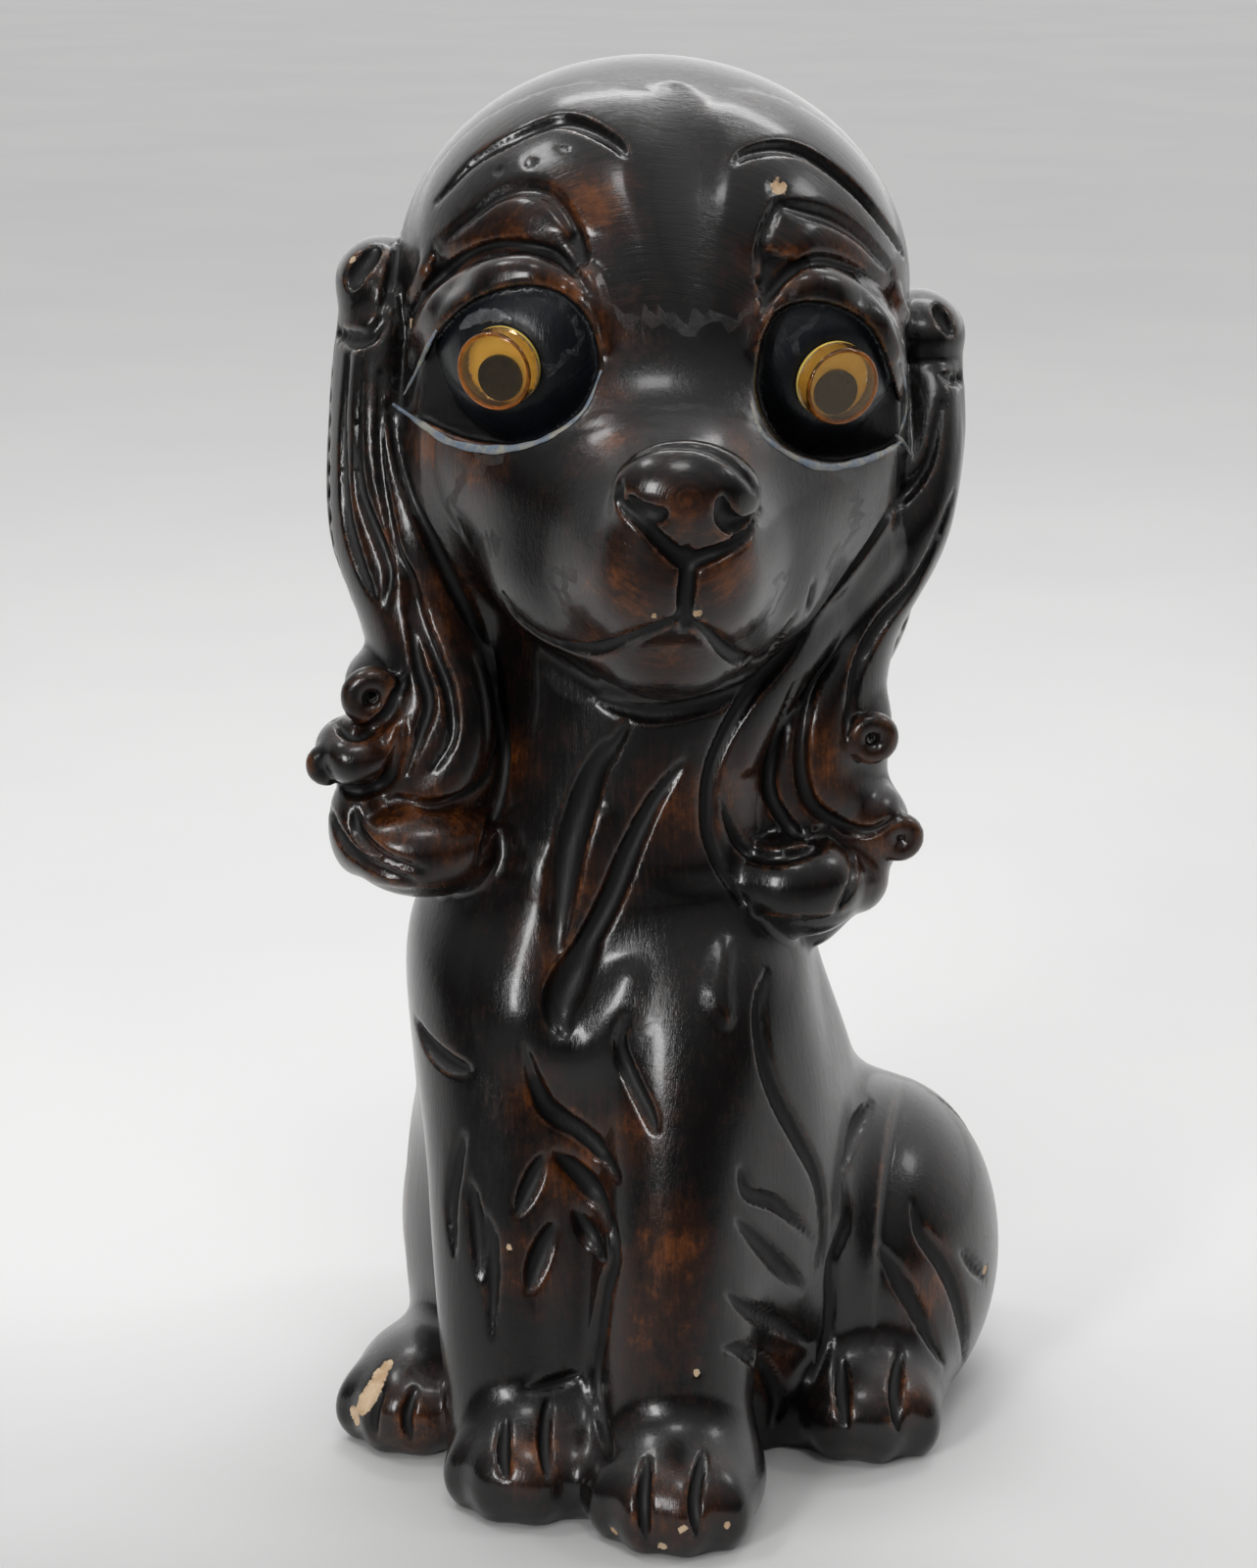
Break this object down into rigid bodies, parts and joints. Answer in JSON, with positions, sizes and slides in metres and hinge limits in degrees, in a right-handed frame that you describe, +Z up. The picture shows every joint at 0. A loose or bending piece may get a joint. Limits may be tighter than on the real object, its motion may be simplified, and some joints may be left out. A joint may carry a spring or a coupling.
{
  "type": "chalkware figure",
  "caption": "Sitting spaniel in hollow cast plaster with a glossy dark stain, and glued-on amber wiggle eyes with loose pupils.",
  "frame": {"origin": "centre of the figure's box, on the plane that it stands on", "axes": "+Z up; the dog's body faces -Y, with its left side at +X"},
  "size_m": [0.1102, 0.1278, 0.2236],
  "materials": {
    "stained_plaster": "gloss varnish over brown stain",
    "clear_glue": "clear",
    "eye_back": "satin",
    "amber_drum": "clear gloss",
    "black_pupil": "gloss"
  },
  "bodies": {
    "figure": {"plaster_casting": "stained_plaster", "left_eye_glue": "clear_glue", "left_eye_back": "eye_back", "left_eye_dome": "amber_drum", "right_eye_glue": "clear_glue", "right_eye_back": "eye_back", "right_eye_dome": "amber_drum"},
    "left_pupil": {"left_pupil": "black_pupil"},
    "right_pupil": {"right_pupil": "black_pupil"}
  },
  "joints": [
    {"name": "left_pupil_roll", "type": "hinge", "parent": "figure", "child": "left_pupil", "pos_m": [0.03231, -0.02256, 0.17775], "axis": [0.5766, -0.797, -0.1795], "continuous": true},
    {"name": "right_pupil_roll", "type": "hinge", "parent": "figure", "child": "right_pupil", "pos_m": [-0.01571, -0.03823, 0.18077], "axis": [-0.1963, -0.9714, -0.1334], "continuous": true}
  ]
}
